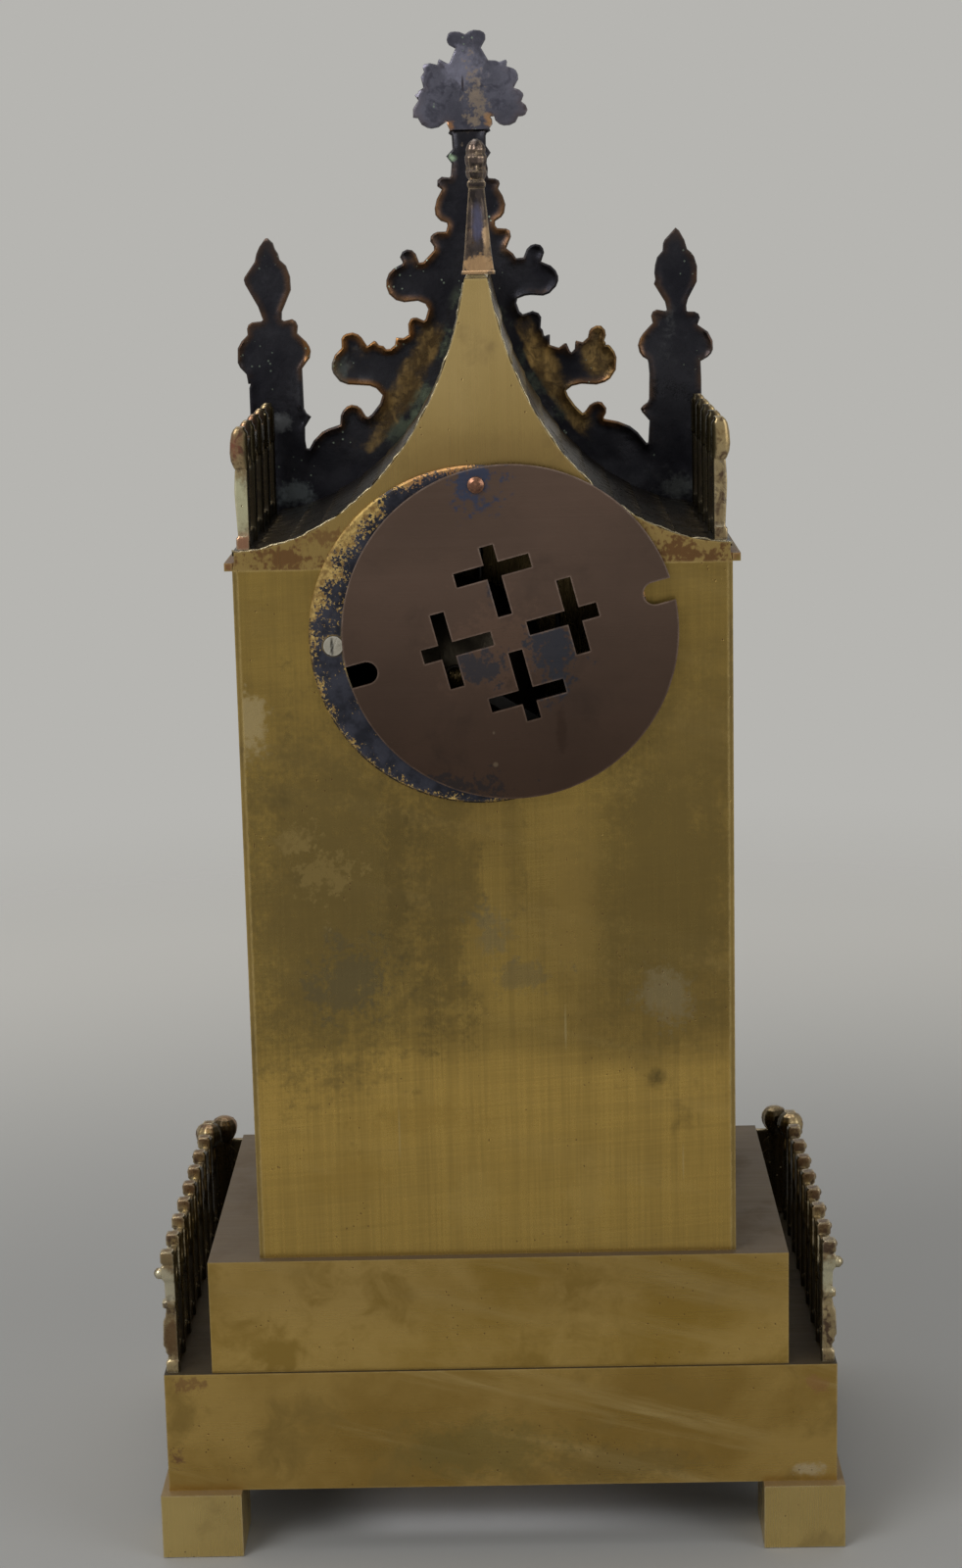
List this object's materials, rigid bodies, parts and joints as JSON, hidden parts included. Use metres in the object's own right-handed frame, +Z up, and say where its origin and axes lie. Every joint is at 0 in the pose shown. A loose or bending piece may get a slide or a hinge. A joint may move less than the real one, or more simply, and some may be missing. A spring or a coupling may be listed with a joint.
{
  "type": "table clock",
  "caption": "Cathedral-shaped brass mantel clock with pierced galleries, concave scaled roof, dark crocketed front casting, swinging rear cover and a pendulum striking movement.",
  "frame": {"origin": "middle of the rectangle covered by the four feet, on the surface they stand on", "axes": "+Z up; +Y out of the back of the clock, where the swinging cover is; the dial faces -Y; +X to the right when the dial is read"},
  "size_m": [0.2262, 0.155, 0.4959],
  "materials": {
    "brass": "aged, stained and vertically brushed",
    "gilt_brass": "dark patina with gilt worn edges",
    "old_brass": "dark tarnished",
    "cover_brown": "chocolate brown bronzed sheet with rust near the rivet",
    "dark_casting": "blue-black unfinished back with gilt edges",
    "steel": "grey, slightly oily",
    "blued_steel": "blued",
    "enamel": "glossy vitreous enamel",
    "bell_metal": "turned bell metal",
    "glass": "clear, slightly domed edge"
  },
  "bodies": {
    "case": {"feet": "brass", "foot_screws": "steel", "lower_plinth": "brass", "upper_plinth": "brass", "case_back": "brass", "case_sides": "brass", "tie_rods": "steel", "tie_nuts": "brass", "eave_cornices": "gilt_brass", "gable_plate": "brass", "roof_left": "gilt_brass", "roof_right": "gilt_brass", "ridge_strip": "gilt_brass", "ridge_finial": "gilt_brass", "roof_galleries": "gilt_brass", "facade": "dark_casting", "facade_tracery": "gilt_brass", "facade_piers": "gilt_brass", "base_side_galleries": "gilt_brass", "base_front_gallery": "gilt_brass", "rear_ring": "brass", "ring_screws": "steel", "cover_rivet": "old_brass", "front_ring": "gilt_brass", "movement_straps": "brass", "dial": "enamel", "bezel_pin": "steel", "front_plate": "brass", "back_plate": "brass", "pillars": "brass", "spring_barrels": "brass", "winding_clicks": "steel", "intermediate_wheel": "brass", "centre_wheel": "brass", "third_wheel": "brass", "escape_wheel": "brass", "strike_wheels": "brass", "back_cock": "brass", "count_wheel": "brass", "bell": "bell_metal", "bell_stand": "steel", "bell_nut": "brass"},
    "cover": {"rear_cover": "cover_brown"},
    "bezel": {"bezel_frame": "gilt_brass", "dial_glass": "glass"},
    "minute_work": {"minute_hand": "blued_steel", "cannon_pinion": "brass", "hand_nut": "brass"},
    "minute_wheel_body": {"minute_wheel": "brass"},
    "hour_work": {"hour_hand": "blued_steel", "hour_wheel": "brass"},
    "pendulum": {"suspension_spring": "steel", "pendulum_rod": "steel", "pendulum_bob": "brass", "rating_nut": "brass"},
    "anchor_body": {"anchor": "steel"},
    "going_arbor_body": {"going_arbor": "steel"},
    "strike_arbor_body": {"strike_arbor": "steel"},
    "hammer_body": {"hammer": "steel"}
  },
  "joints": [
    {"name": "cover_swing", "type": "hinge", "parent": "case", "child": "cover", "pos_m": [0.0014, 0.0726, 0.3534], "axis": [0, 1, 0], "range_deg": [-112, 88]},
    {"name": "bezel_opening", "type": "hinge", "parent": "case", "child": "bezel", "pos_m": [-0.053, -0.0538, 0.306], "axis": [0, 0, 1], "range_deg": [-95, 0]},
    {"name": "hand_setting", "type": "hinge", "parent": "case", "child": "minute_work", "pos_m": [0.0014, -0.0435, 0.306], "axis": [0, 1, 0], "continuous": true},
    {"name": "minute_wheel_turn", "type": "hinge", "parent": "case", "child": "minute_wheel_body", "pos_m": [-0.00523, -0.0435, 0.316], "axis": [0, 1, 0], "continuous": true},
    {"name": "hour_turn", "type": "hinge", "parent": "case", "child": "hour_work", "pos_m": [0.0014, -0.046, 0.306], "axis": [0, 1, 0], "continuous": true},
    {"name": "pendulum_swing", "type": "hinge", "parent": "case", "child": "pendulum", "pos_m": [0.0014, 0.0155, 0.341], "axis": [0, 1, 0], "range_deg": [-3.5, 3.5]},
    {"name": "anchor_rocking", "type": "hinge", "parent": "case", "child": "anchor_body", "pos_m": [0.0014, 0, 0.341], "axis": [0, 1, 0], "range_deg": [-3.5, 3.5]},
    {"name": "going_winding", "type": "hinge", "parent": "case", "child": "going_arbor_body", "pos_m": [0.0199, -0.0395, 0.2915], "axis": [0, 1, 0], "continuous": true},
    {"name": "strike_winding", "type": "hinge", "parent": "case", "child": "strike_arbor_body", "pos_m": [-0.0171, -0.0395, 0.2915], "axis": [0, 1, 0], "continuous": true},
    {"name": "hammer_stroke", "type": "hinge", "parent": "case", "child": "hammer_body", "pos_m": [-0.0221, 0, 0.334], "axis": [0, 1, 0], "range_deg": [0, 14]}
  ],
  "couplings": [
    {"joint": "minute_wheel_turn", "follows": "hand_setting", "ratio": -0.33333},
    {"joint": "hour_turn", "follows": "hand_setting", "ratio": 0.083333},
    {"joint": "anchor_rocking", "follows": "pendulum_swing", "ratio": 1}
  ]
}
